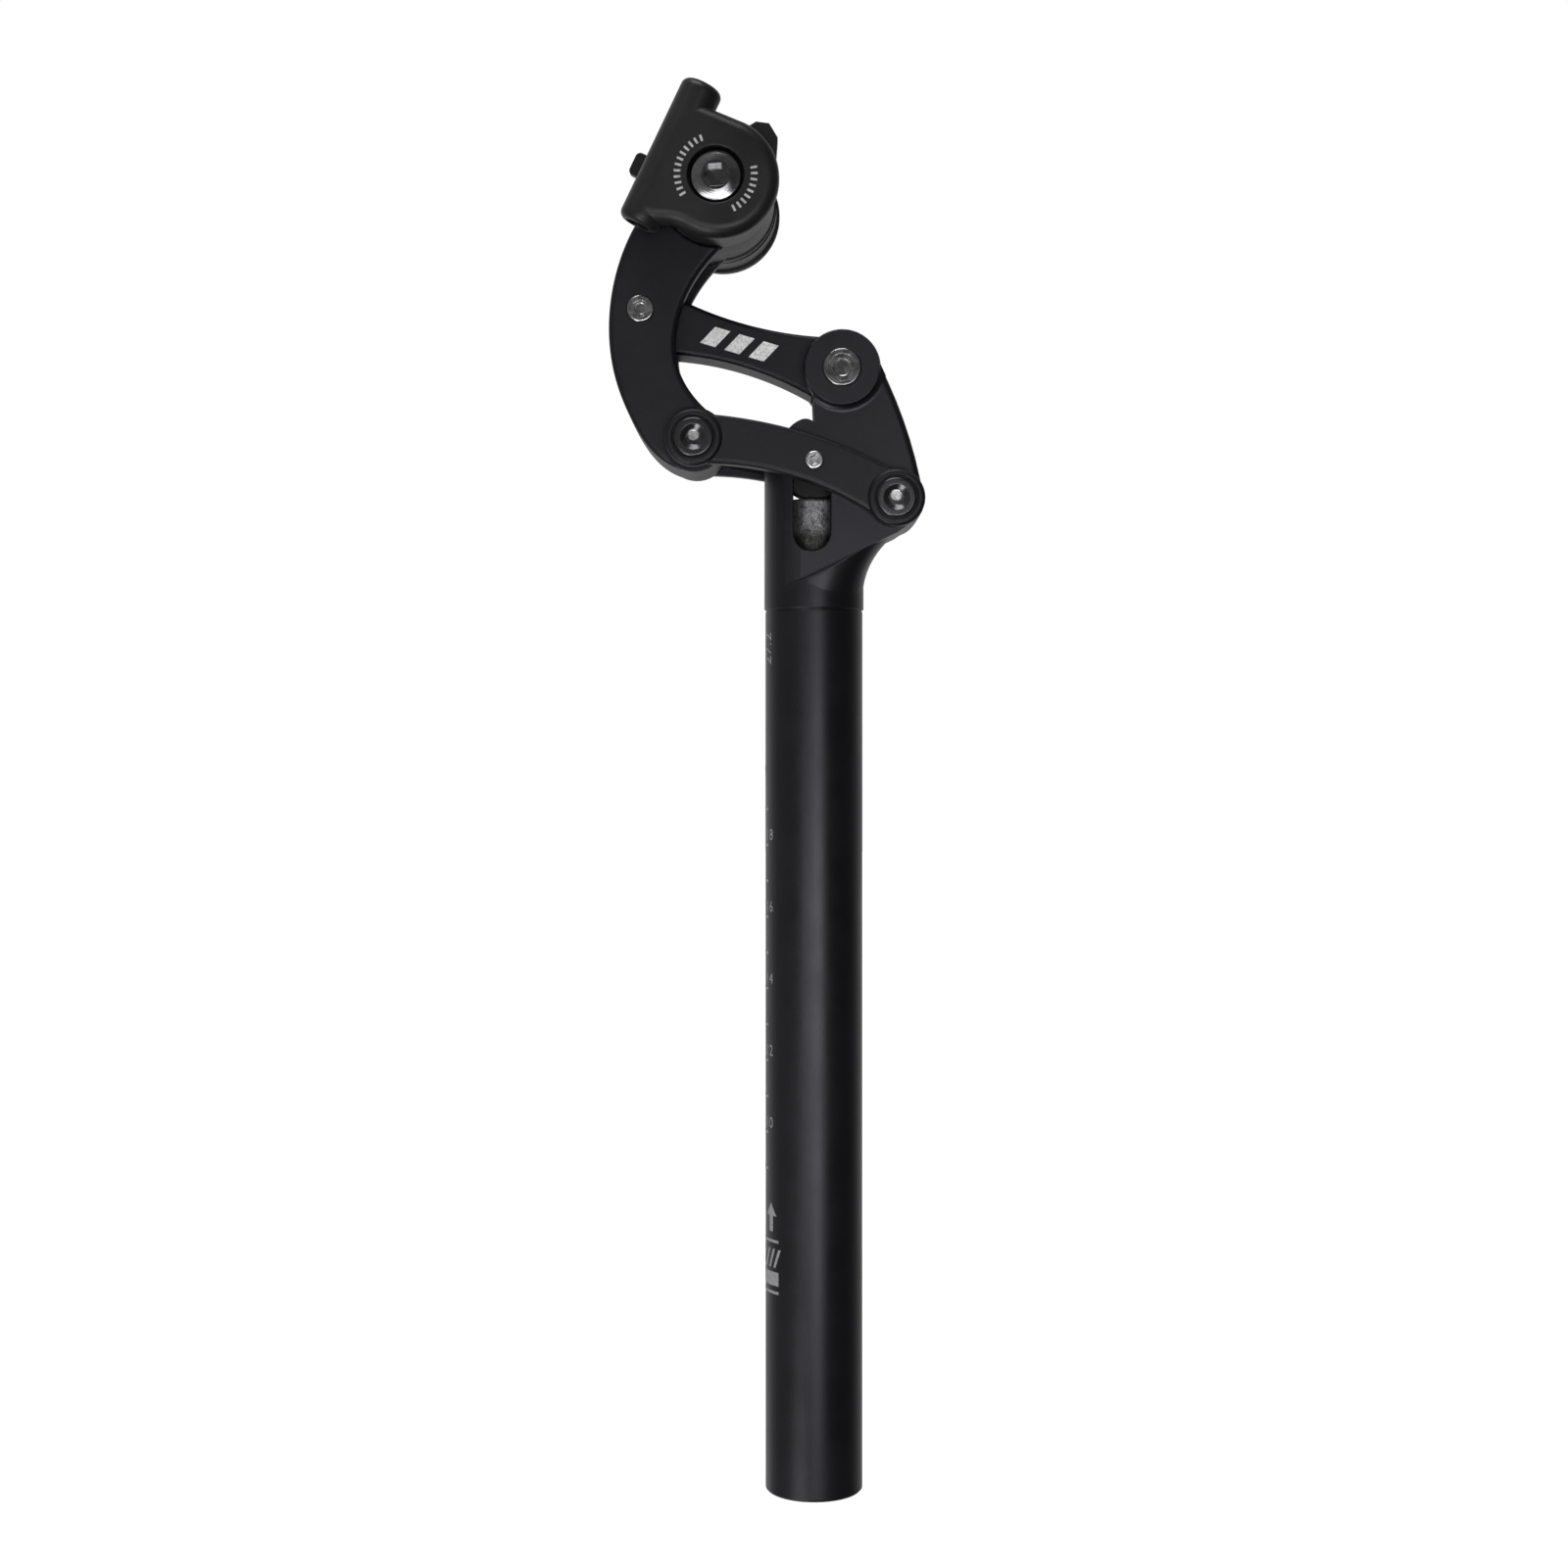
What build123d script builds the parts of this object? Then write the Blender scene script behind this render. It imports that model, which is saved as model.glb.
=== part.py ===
from build123d import *
from math import cos, radians, sin
import os

# Parallelogram suspension seatpost with a one-bolt side clamp for the saddle rails. Millimetres.
# Origin on the post's axis where its end chamfer starts, +Z up the post, +X to the front of the bicycle and +Y
# to its left. The saddle hangs on head_bracket, which two links of equal length join to post_body. A
# roller between the lower link's plates presses a plunger down the post against a coil spring. The
# pieces are modelled fully extended, with the saddle clamp turned nose-up.

# Post
POST_R = 13.6
BORE_R = 10.8
NECK_Z = 245.0
NECK_R = 13.9
COLUMN_TOP = 290.0
THREAD_R = 11.2
THREAD_TOP = 34.0
END_CHAMFER = 0.6

# Linkage, pivots as (x, z)
LINK_LENGTH = 58.0
LINK_RISE = 16.5
FRONT_LOWER = (22.4, 275.6)
FRONT_UPPER = (7.6, 311.7)
ROLLER = (-0.1, 285.8)
ROLLER_R = 9.5

# Saddle clamp
BOLT_CENTRE = (-26.8, 361.5)
CLAMP_TURN = 64.5
RAIL_R = 3.5
RAIL_Y = 22.0
RAIL_UP = 13.9
RAIL_CLAMP_LENGTH = 42.0
RAIL_CLAMP_MID = 0.5

# Half widths from the middle plane
ROLLER_Y = 3.8
UPPER_LINK_Y = 7.5
FORK_GAP_Y = 7.8
BRACKET_Y = 12.0
YOKE_Y = 12.2
PLATE_Y = (12.5, 17.0)
PLATE_BOSS_Y = 17.9
UPPER_BOSS_Y = 14.2
HEAD_Y = 9.3
INNER_CLAMP_Y = (9.6, 21.7)
OUTER_CLAMP_Y = (22.3, 27.8)

# Shafts
RUNNING = 0.05
AXLE_R = 4.5
UPPER_FRONT_R = 4.0
UPPER_REAR_R = 3.0
PIN_RECESS = 0.7
ROLLER_AXLE_R = 2.5
ROLLER_AXLE_Y = 17.9
SPACER_R = 3.3
BOLT_R = 4.0
BUSH_WALL = 1.2


def along(s, t, start=FRONT_UPPER):
    """A point s along a link from its front pivot and t above its centre line."""
    a = radians(LINK_RISE)
    return (start[0] - s * cos(a) + t * sin(a), start[1] + s * sin(a) + t * cos(a))


REAR_LOWER = along(LINK_LENGTH, 0, FRONT_LOWER)
REAR_UPPER = along(LINK_LENGTH, 0, FRONT_UPPER)
PLUNGER_TOP = ROLLER[1] - ROLLER_R - RUNNING


def slab(profile, y_low, y_high):
    """A profile drawn in XZ, as a solid between two values of Y."""
    return Pos(0, y_high, 0) * extrude(Plane.XZ * profile, amount=y_high - y_low)


def centred(profile, half):
    return slab(profile, -half, half)


def disc(centre, radius):
    return Pos(*centre) * Circle(radius)


def rod(centre, radius, y_low, y_high):
    return slab(disc(centre, radius), y_low, y_high)


def ring(centre, outer, inner, y_low, y_high):
    return rod(centre, outer, y_low, y_high) - rod(centre, inner, y_low, y_high)


def polygon(*points):
    return make_face(Polyline(*points, close=True))


def hexagon(centre, across_flats):
    return Pos(*centre) * RegularPolygon(across_flats / 2, 6, major_radius=False)


def band(start, end, radius):
    """Two discs and the straight band between them."""
    side = (Vector(*end) - Vector(*start)).rotate(Axis.Z, 90).normalized() * radius
    corners = [Vector(*start) + side, Vector(*end) + side, Vector(*end) - side, Vector(*start) - side]
    return disc(start, radius) + disc(end, radius) + make_face(Polyline(*corners, close=True))


def upright(radius, z_low, z_high):
    return Pos(0, 0, z_low) * extrude(Circle(radius), z_high - z_low)


def left_of(shape):
    return mirror(shape, about=Plane.XZ)


def pair(shape):
    """The right-hand shape and its mirror image, as separate solids."""
    return Compound(children=[*shape.solids(), *left_of(shape).solids()])


def rims(shape, y):
    """Edges that lie wholly in the plane at y."""
    return shape.edges().filter_by_position(Axis.Y, y - 0.01, y + 0.01)


# ---- post ----

YOKE_BOSS_R = 10.6
FRONT_BOSS_R = 7.9
LEDGE_TILT = 25.6
LEDGE = Plane(
    origin=(-6.7, 0, 252.3),
    x_dir=(0, 1, 0),
    z_dir=(cos(radians(LEDGE_TILT)), 0, sin(radians(LEDGE_TILT))),
)
SLOT_X = -0.8
SLOT_R = 5.0
SLOT_LOW = 266.6


def yoke_profile():
    """Side view of the forged head, from the column's middle to its front edge."""
    sweep = [
        Line((-4, 249), (-4, 281)),
        ThreePointArc((-4, 281), (-5.3, 284.2), (-8.2, 286.0)),
        ThreePointArc((-8.2, 286.0), (-7.6, 294.4), (-3.6, 297.6)),
        ThreePointArc((-3.6, 297.6), (-1.4, 297.6), (-0.1, 296.8)),
        Line((-0.1, 296.8), (-0.4, 304.6)),
        ThreePointArc((-0.4, 304.6), (-3.0, 311.7), (7.6, 322.3)),
        ThreePointArc((7.6, 322.3), (14.6, 319.7), (18.2, 312.7)),
        ThreePointArc((18.2, 312.7), (26.2, 293.0), (30.3, 275.6)),
        ThreePointArc((30.3, 275.6), (29.2, 271.4), (26.0, 268.6)),
        Line((26.0, 268.6), (21.0, 265.2)),
        ThreePointArc((21.0, 265.2), (15.7, 257.9), (13.5, 249)),
        Line((13.5, 249), (-4, 249)),
    ]
    return make_face(Wire(sweep))


def ledge_bar(outline):
    """A section across the ledge, as (y, height above the ledge), run along the ledge on both sides."""
    bar = extrude(LEDGE * make_face(outline), amount=60, both=True)
    return bar + left_of(bar)


def neck_plan(z, reach, half, power):
    """Half of the neck's plan at a height, from inside the column to its front edge; power 2 is an ellipse."""
    side = [(reach * s, half * (1 - s**power) ** (1 / power)) for s in (0.3, 0.55, 0.75, 0.89, 0.97)]
    start = (-2, half * 0.985)
    edge = Spline(start, *side, (reach, 0), *[(x, -y) for x, y in side[::-1]], (-2, -start[1]))
    return Pos(0, 0, z) * make_face(Wire([edge, Line(edge @ 1, edge @ 0)]))


def neck():
    """The swelling that carries the round column out to the yoke's front edge."""
    plans = (
        neck_plan(246.4, 13.5, 13.4, 2.0),
        neck_plan(251.5, 13.8, 13.9, 2.2),
        neck_plan(257.0, 15.2, 14.2, 2.7),
        neck_plan(262.5, 18.4, 14.3, 3.2),
        neck_plan(268.5, 24.0, 14.3, 3.6),
    )
    return loft(plans)


def lower_neck():
    """Everything of the neck below the ledge, whose outer edge is rounded."""
    body = upright(NECK_R, NECK_Z + 0.5, 275)
    body = chamfer(body.edges().group_by(Axis.Z)[0], 0.3) + neck()
    edge = ThreePointArc((YOKE_Y, 0), (13.3, -0.5), (14.6, -2.2))
    return body - ledge_bar(edge + Polyline((14.6, -2.2), (20, -2.2), (20, 80), (-1, 80), (-1, 0), (YOKE_Y, 0)))


def upper_column():
    """The column between the plates, with a flat on each side that curves into its back."""
    flank = ThreePointArc((-3, YOKE_Y), (-10, 10.324), (-16, 3.396))
    other = ThreePointArc((-16, -3.396), (-10, -10.324), (-3, -YOKE_Y))
    front = Polyline((-3, -YOKE_Y), (20, -YOKE_Y), (20, YOKE_Y), (-3, YOKE_Y))
    plan = Circle(NECK_R) & make_face(Wire([flank, Line(flank @ 1, other @ 0), other, *front.edges()]))
    column = Pos(0, 0, 247) * extrude(plan, COLUMN_TOP - 247)
    return fillet(column.edges().group_by(Axis.Z)[-1], 1.2)


def yoke():
    """The part of the forged head above the ledge, its front edges rounded."""
    below = ledge_bar(Polyline((-1, 0), (20, 0), (20, -60), (-1, -60), close=True))
    head = centred(yoke_profile(), YOKE_Y) - below
    arcs = (rims(head, YOKE_Y) + rims(head, -YOKE_Y)).filter_by(GeomType.CIRCLE)
    return fillet([arc for arc in arcs if arc.length > 15 and arc.center().X > 8], 1.8)


def boss_foot(centre, radius, face, foot):
    """Hollow curve round the foot of a boss that stands on the right-hand cheek."""
    rise = face - foot
    flare = rod(centre, radius + rise, -face, -foot)
    return flare - Pos(centre[0], -face, centre[1]) * Rot(90, 0, 0) * Torus(radius + rise, rise)


def slot_mouth():
    """Bevel round the right-hand end of the slot."""
    outline = band((SLOT_X, SLOT_LOW), (SLOT_X, ROLLER[1]), SLOT_R - 0.9)
    return Pos(0, 2.2 - YOKE_Y, 0) * extrude(Plane.XZ * outline, amount=4, taper=-32)


def post_body():
    body = upright(POST_R, -END_CHAMFER, NECK_Z)
    body = chamfer(body.edges().group_by(Axis.Z)[0], END_CHAMFER)
    body += upright(POST_R - 0.2, NECK_Z, NECK_Z + 0.5)
    body += upper_column() + yoke() + lower_neck()
    cheek_boss = centred(disc(FRONT_UPPER, YOKE_BOSS_R - 0.3), UPPER_BOSS_Y)
    body += fillet(cheek_boss.edges().filter_by(GeomType.CIRCLE), 0.6)
    foot = boss_foot(FRONT_UPPER, YOKE_BOSS_R - 0.35, UPPER_BOSS_Y, YOKE_Y)
    foot = foot & centred(yoke_profile(), UPPER_BOSS_Y)
    body += foot
    body += left_of(foot)
    body -= upright(BORE_R, -1, 250)
    body -= upright(BORE_R - 0.6, 249, COLUMN_TOP + 4)
    body -= upright(THREAD_R, -1, THREAD_TOP)
    body -= centred(Pos(-1.1, 278) * Rectangle(22.2, 42), ROLLER_Y + 0.5)
    body -= centred(disc(FRONT_UPPER, YOKE_BOSS_R + 0.6) + Pos(-8, 308) * Rectangle(36, 40), FORK_GAP_Y)
    body -= centred(band((SLOT_X, SLOT_LOW), (SLOT_X, ROLLER[1]), SLOT_R), POST_R + 1)
    body -= slot_mouth()
    body -= left_of(slot_mouth())
    body -= rod(FRONT_LOWER, AXLE_R + BUSH_WALL, -YOKE_Y, YOKE_Y)
    body -= rod(FRONT_UPPER, UPPER_FRONT_R, -UPPER_BOSS_Y, UPPER_BOSS_Y)
    recess = rod(FRONT_UPPER, 5.3, -UPPER_BOSS_Y, PIN_RECESS - UPPER_BOSS_Y)
    return body - recess - left_of(recess)


def guide_sleeve():
    return upright(BORE_R, 216, 250) - upright(8.05, 216, 250)


def plunger():
    shaft = upright(8.0, 200, PLUNGER_TOP)
    shaft = fillet(shaft.edges().group_by(Axis.Z)[-1], 0.8)
    return shaft + upright(10.4, 200, 215.9) + upright(5.0, 184, 200)


SPRING_LOW = 38.0
SPRING_HIGH = 200.0
SPRING_R = 8.4
WIRE_R = 1.5


def coil_spring():
    """Round wire with flat ground ends."""
    helix = Helix(pitch=6.75, height=SPRING_HIGH - SPRING_LOW, radius=SPRING_R)
    helix = Pos(0, 0, SPRING_LOW) * helix
    section = Plane(origin=helix @ 0, z_dir=helix % 0) * Circle(WIRE_R)
    wire = sweep(section, path=helix)
    return wire & upright(12, SPRING_LOW, SPRING_HIGH)


def bump_stop():
    stop = upright(5.4, SPRING_LOW, 163)
    for z in (70, 100, 130):
        stop -= Pos(0, 0, z) * Torus(6.4, 2.0)
    return fillet(stop.edges().group_by(Axis.Z)[-1], 1.2)


def spring_seat():
    seat = upright(10.6, 35, SPRING_LOW)
    return seat - upright(2.5, 35, SPRING_LOW)


def preload_cap():
    cap = upright(THREAD_R - RUNNING, 20, 34) + upright(2.4, 34, SPRING_LOW - 0.5)
    cap += upright(7.5, 34, 35)
    socket = Pos(0, 0, 20) * extrude(RegularPolygon(4, 6, major_radius=False), 8)
    return cap - socket


# ---- pivots ----


def bush_pair(centre, shaft_r, face, depth, flange_r):
    """Plain bushes pressed into both ends of a bore, each with a thin thrust flange."""
    bore = shaft_r + RUNNING
    bush = ring(centre, shaft_r + BUSH_WALL, bore, -face, depth - face)
    bush += ring(centre, flange_r, bore, -face - 0.22, -face)
    return pair(bush)


def front_bushes():
    return bush_pair(FRONT_LOWER, AXLE_R, YOKE_Y, 6.0, 7.1)


def rear_bushes():
    return bush_pair(REAR_LOWER, AXLE_R, BRACKET_Y, 6.0, 7.1)


def axle(centre):
    """Hollow-ended axle, a tight fit in both plates."""
    shaft = rod(centre, AXLE_R, -16.4, 16.4)
    ends = rod(centre, 2.5, -16.4, -5.0)
    return shaft - ends - left_of(ends)


def dish(centre, face, radius, depth):
    """A shallow cone sunk into a face that looks to the right; its floor is half as wide as its mouth."""
    cone = Cone(radius, radius / 2, depth + 0.5)
    return Pos(centre[0], face + depth / 2 - 0.25, centre[1]) * Rot(-90, 0, 0) * cone


def axle_screws(centre):
    """Low-head screws in the ends of an axle, dished round their sockets."""
    head = rod(centre, 5.5, -18.2, -16.4)
    head = fillet(rims(head, -18.2), 0.7)
    head -= dish(centre, -18.2, 4.3, 1.0)
    head -= slab(hexagon(centre, 4.0), -18.2, -15.0)
    return pair(head + (rod(centre, 2.5, -16.4, -8.0) - dish(centre, -15.0, 2.0, 1.0)))


def link_bushes(centre, shaft_r):
    """Plain bushes in both ends of an upper-link bore, flush with its faces."""
    bush = ring(centre, shaft_r + BUSH_WALL, shaft_r + RUNNING, -UPPER_LINK_Y, 6.0 - UPPER_LINK_Y)
    return pair(bush)


def roller_axle():
    """Plain pin with a centre-drilled dimple in each end."""
    pin = centred(disc(ROLLER, ROLLER_AXLE_R), ROLLER_AXLE_Y)
    pin = fillet(pin.edges().filter_by(GeomType.CIRCLE), 0.5)
    dimple = dish(ROLLER, -ROLLER_AXLE_Y, 1.7, 0.8)
    return pin - dimple - left_of(dimple)


def riveted_pin(centre, radius, half, head_r):
    """A pin whose ends are spread into thin rimmed heads, seated in the faces at half."""
    pin = centred(disc(centre, radius), half - PIN_RECESS)
    head = rod(centre, head_r, -half - 0.3, PIN_RECESS - half)
    head = fillet(rims(head, -half - 0.3), 0.5)
    head -= rod(centre, head_r - 1.5, -half - 0.3, 0.1 - half)
    head -= dish(centre, -half - 0.3, head_r - 0.9, 0.55)
    return pin + head + left_of(head)


# ---- links ----


def plate_profile():
    """Side view of a lower-link plate: an arched bar between its two eyes."""
    top_front = along(3, 7.2, FRONT_LOWER)
    top_rear = along(55.5, 7.4, FRONT_LOWER)
    low_rear = along(54, -6.3, FRONT_LOWER)
    low_front = along(5, -6.0, FRONT_LOWER)
    outline = [
        ThreePointArc(top_front, along(30, 10.0, FRONT_LOWER), top_rear),
        Line(top_rear, low_rear),
        ThreePointArc(low_rear, along(30, -2.5, FRONT_LOWER), low_front),
        Line(low_front, top_front),
    ]
    return make_face(Wire(outline))


def link_plate():
    """The right-hand plate; its inner face has a long pocket."""
    plate = slab(plate_profile(), -PLATE_Y[1], -PLATE_Y[0])
    lower_arc, upper_arc = rims(plate, -PLATE_Y[1]).filter_by(GeomType.CIRCLE).sort_by(Axis.Z)
    plate = fillet(lower_arc, 1.4)
    upper_arc = rims(plate, -PLATE_Y[1]).filter_by(GeomType.CIRCLE).sort_by(Axis.Z)[-1]
    plate = fillet(upper_arc, 0.9)
    for eye in (FRONT_LOWER, REAR_LOWER):
        boss = rod(eye, 7.9, -PLATE_BOSS_Y, -PLATE_Y[0])
        plate += fillet(rims(boss, -PLATE_BOSS_Y), 1.2)
    for eye in (FRONT_LOWER, REAR_LOWER):
        plate -= rod(eye, 6.1, -PLATE_BOSS_Y, -16.4)
        plate -= rod(eye, AXLE_R, -PLATE_BOSS_Y, -PLATE_Y[0])
    pocket = band(along(34, 0.9, FRONT_LOWER), along(47, -0.4, FRONT_LOWER), 1.6)
    plate -= slab(pocket, -PLATE_Y[0] - 1.5, -PLATE_Y[0])
    return plate - rod(ROLLER, ROLLER_AXLE_R, -PLATE_BOSS_Y, -PLATE_Y[0])


def upper_link():
    """Solid centre member, deeper at its eyes."""
    outline = [
        ThreePointArc(along(4, 8.6), along(24, 5.2), along(46, 6.0)),
        Line(along(46, 6.0), along(58, 6.6)),
        Line(along(58, 6.6), along(58, -6.6)),
        Line(along(58, -6.6), along(48, -9.2)),
        ThreePointArc(along(48, -9.2), along(29, -6.7), along(6, -9.2)),
        Line(along(6, -9.2), along(4, 8.6)),
    ]
    link = centred(make_face(Wire(outline)), UPPER_LINK_Y)
    link = fillet(rims(link, UPPER_LINK_Y).filter_by(GeomType.CIRCLE), 1.2)
    link = fillet(rims(link, -UPPER_LINK_Y).filter_by(GeomType.CIRCLE), 1.2)
    link += centred(disc(FRONT_UPPER, 9.9), UPPER_LINK_Y) + centred(disc(REAR_UPPER, 6.6), UPPER_LINK_Y)
    link -= centred(disc(FRONT_UPPER, UPPER_FRONT_R + BUSH_WALL), UPPER_LINK_Y)
    return link - centred(disc(REAR_UPPER, UPPER_REAR_R + BUSH_WALL), UPPER_LINK_Y)


def roller():
    body = centred(disc(ROLLER, ROLLER_R), ROLLER_Y)
    body = fillet(body.edges().filter_by(GeomType.CIRCLE), 0.6)
    return body - centred(disc(ROLLER, 4.0), ROLLER_Y)


def roller_bush():
    return ring(ROLLER, 4.0, ROLLER_AXLE_R + RUNNING, -ROLLER_Y, ROLLER_Y)


def roller_spacers():
    return pair(ring(ROLLER, SPACER_R, ROLLER_AXLE_R, -PLATE_Y[0], -ROLLER_Y - 0.3))


# ---- head bracket ----

HEAD_R = 15.6


def bracket_profile():
    """Side view of the C-shaped bracket, from its head round the clamp bolt to its lower eye."""
    head_rear = (-41.4, 366.4)
    head_under = (-24.5, 346.2)
    rear = Spline((-50.6, 349.4), (-56.5, 329.0), (-55.6, 311.5), (-50.5, 297.6), (-42.6, 286.9), (-33.2, 283.2))
    inner = Spline((-26.0, 297.4), (-32.0, 302.6), (-37.4, 311.5), (-38.3, 321.0), (-34.8, 333.0), head_under)
    outline = [Line(head_rear, (-50.6, 349.4)), rear, Line((-33.2, 283.2), (-26.0, 297.4)), inner]
    outline.append(Line(head_under, head_rear))
    return make_face(Wire(outline))


def link_pocket():
    """Room for the upper link's rear end through its whole travel, in side view."""
    mouth = polygon(
        along(58, -7.3),
        along(48, -10.2),
        along(30, -10.2),
        (-20, 347.8),
        (-27.8, 344.5),
        (-50.9, 334.9),
    )
    return mouth + disc(REAR_UPPER, 7.2)


def head_bracket():
    bracket = centred(bracket_profile(), BRACKET_Y)
    for y in (-BRACKET_Y, BRACKET_Y):
        bracket = fillet(rims(bracket, y).filter_by(GeomType.BSPLINE), 1.6)
    bracket += centred(disc(BOLT_CENTRE, HEAD_R), BRACKET_Y) + centred(disc(REAR_LOWER, 8.9), BRACKET_Y)
    for y_low in (-BRACKET_Y, HEAD_Y):
        bracket -= rod(BOLT_CENTRE, 16.7, y_low, y_low + BRACKET_Y - HEAD_Y)
    bracket -= centred(link_pocket() - disc(BOLT_CENTRE, HEAD_R), FORK_GAP_Y)
    bracket -= centred(disc(REAR_LOWER, AXLE_R + BUSH_WALL), BRACKET_Y)
    bracket -= centred(disc(BOLT_CENTRE, BOLT_R + RUNNING), BRACKET_Y)
    bracket -= centred(disc(REAR_UPPER, UPPER_REAR_R), BRACKET_Y)
    recess = rod(REAR_UPPER, 3.8, -BRACKET_Y, PIN_RECESS - BRACKET_Y)
    return bracket - recess - left_of(recess)


# ---- saddle clamp, drawn with the bolt at the origin and the rails level ----

CLAMP_SHELL_R = 5.8
OUTER_CLAMP_EDGE = 3.4
RECESS_Y = 22.6
NUT_POCKET_Y = 20.6


def nose_up(shape):
    """Turns a clamp piece about the bolt and moves it to its place."""
    return Pos(BOLT_CENTRE[0], 0, BOLT_CENTRE[1]) * Rot(0, -CLAMP_TURN, 0) * shape


def rail_bar(radius, length):
    """A round bar along the right-hand rail."""
    return Pos(RAIL_CLAMP_MID, -RAIL_Y, RAIL_UP) * Rot(0, 90, 0) * Cylinder(radius, length)


def rail_shell(y_low, y_high):
    """The part of the half-round wall round the rail that lies between two values of Y."""
    shell = rail_bar(CLAMP_SHELL_R, RAIL_CLAMP_LENGTH)
    shell = fillet(shell.edges().filter_by(GeomType.CIRCLE), 2.2)
    return shell & slab(Rectangle(90, 90), y_low, y_high)


def inner_clamp():
    near, far = -INNER_CLAMP_Y[1], -INNER_CLAMP_Y[0]
    clamp = rail_shell(near, 0)
    clamp += slab(Pos(0, -0.4) * Circle(15.9) + Pos(0, 6.5) * Rectangle(30, 15), near, -12.4)
    clamp += slab(Pos(0, 14.2) * Rectangle(28, 9.6), -19.0, -12.4)
    clamp += slab(polygon((12, 2), (19.2, -2.8), (20.3, -6.2), (17.8, -10.0), (10, -13)), -20.0, -12.8)
    nib = slab(Pos(-4.2, 20.4) * RectangleRounded(6.6, 6.4, 1.4), -14.8, -12.4)
    clamp += nib
    clamp += rod((0, 0), 16.0, -12.4, far)
    clamp -= rod((0, 0), 9.6, near, -16.6)
    clamp -= rod((0, 0), BOLT_R + 0.25, near, far)
    return nose_up(clamp - rail_bar(RAIL_R, 60))


def outer_clamp():
    """The right-hand outer clamp before its bolt recess: a domed plate that runs into the rail shell."""
    near, far = -OUTER_CLAMP_Y[1], -OUTER_CLAMP_Y[0]
    outline = [
        Line((15.6, RAIL_UP), (16.4, -0.8)),
        ThreePointArc((16.4, -0.8), (0, -17.2), (-16.4, -0.8)),
        Spline((-16.4, -0.8), (-16.5, 4.6), (-18.2, 9.0), (-19.4, RAIL_UP), tangents=[(0, 1), (-0.15, 1)]),
        Line((-19.4, RAIL_UP), (15.6, RAIL_UP)),
    ]
    plate = slab(make_face(Wire(outline)), near, far)
    plate = fillet(rims(plate, near).sort_by(Axis.Z)[:-1], OUTER_CLAMP_EDGE)
    clamp = rail_shell(near, far) + plate
    clamp += slab(Pos(0, -15.0) * Rectangle(10, 2.4), far, -INNER_CLAMP_Y[1])
    clamp += rod((0, 0), 9.3, far, -17.0)
    clamp -= rod((0, 0), BOLT_R + 0.25, near, -17.0)
    return clamp - rail_bar(RAIL_R, 60)


def outer_clamp_right():
    return nose_up(outer_clamp() - rod((0, 0), 7.75, -OUTER_CLAMP_Y[1], -RECESS_Y))


def outer_clamp_left():
    pocket = slab(hexagon((0, 0), 13.2), -OUTER_CLAMP_Y[1], -NUT_POCKET_Y)
    return left_of(nose_up(outer_clamp() - pocket))


BOLT_FACE = -27.2


def clamp_bolt():
    """Dome-headed screw with a hexagon socket."""
    head = rod((0, 0), 7.1, BOLT_FACE, -RECESS_Y)
    head &= Pos(0, BOLT_FACE + 19.6, 0) * Sphere(20)
    head = fillet(head.edges().filter_by_position(Axis.Y, BOLT_FACE + 0.7, BOLT_FACE + 1.1), 0.7)
    head -= dish((0, 0), BOLT_FACE, 3.9, 0.7)
    head -= slab(hexagon((0, 0), 6.0), BOLT_FACE, -24.0)
    shank = rod((0, 0), BOLT_R, -RECESS_Y, 26.6)
    return nose_up(head + chamfer(rims(shank, 26.6), 0.6))


def clamp_nut():
    nut = slab(hexagon((0, 0), 13.0), NUT_POCKET_Y, 26.4)
    return nose_up(nut - rod((0, 0), BOLT_R, NUT_POCKET_Y, 26.4))


PIECES = {
    "post_body": post_body(),
    "guide_sleeve": guide_sleeve(),
    "plunger": plunger(),
    "coil_spring": coil_spring(),
    "bump_stop": bump_stop(),
    "spring_seat": spring_seat(),
    "preload_cap": preload_cap(),
    "link_plate_right": link_plate(),
    "link_plate_left": left_of(link_plate()),
    "front_axle": axle(FRONT_LOWER),
    "front_axle_screws": axle_screws(FRONT_LOWER),
    "front_bushes": front_bushes(),
    "rear_axle": axle(REAR_LOWER),
    "rear_axle_screws": axle_screws(REAR_LOWER),
    "rear_bushes": rear_bushes(),
    "roller": roller(),
    "roller_bush": roller_bush(),
    "roller_axle": roller_axle(),
    "roller_spacers": roller_spacers(),
    "upper_link": upper_link(),
    "upper_front_pin": riveted_pin(FRONT_UPPER, UPPER_FRONT_R, UPPER_BOSS_Y, 5.25),
    "upper_front_bushes": link_bushes(FRONT_UPPER, UPPER_FRONT_R),
    "upper_rear_pin": riveted_pin(REAR_UPPER, UPPER_REAR_R, BRACKET_Y, 3.75),
    "upper_rear_bushes": link_bushes(REAR_UPPER, UPPER_REAR_R),
    "head_bracket": head_bracket(),
    "inner_clamp_right": inner_clamp(),
    "inner_clamp_left": left_of(inner_clamp()),
    "outer_clamp_right": outer_clamp_right(),
    "outer_clamp_left": outer_clamp_left(),
    "clamp_bolt": clamp_bolt(),
    "clamp_nut": clamp_nut(),
}

os.makedirs("parts", exist_ok=True)
for node, shape in PIECES.items():
    export_step(shape, f"parts/{node}.step")
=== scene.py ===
import math

import bmesh
import bpy
from mathutils import Matrix, Vector


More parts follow.
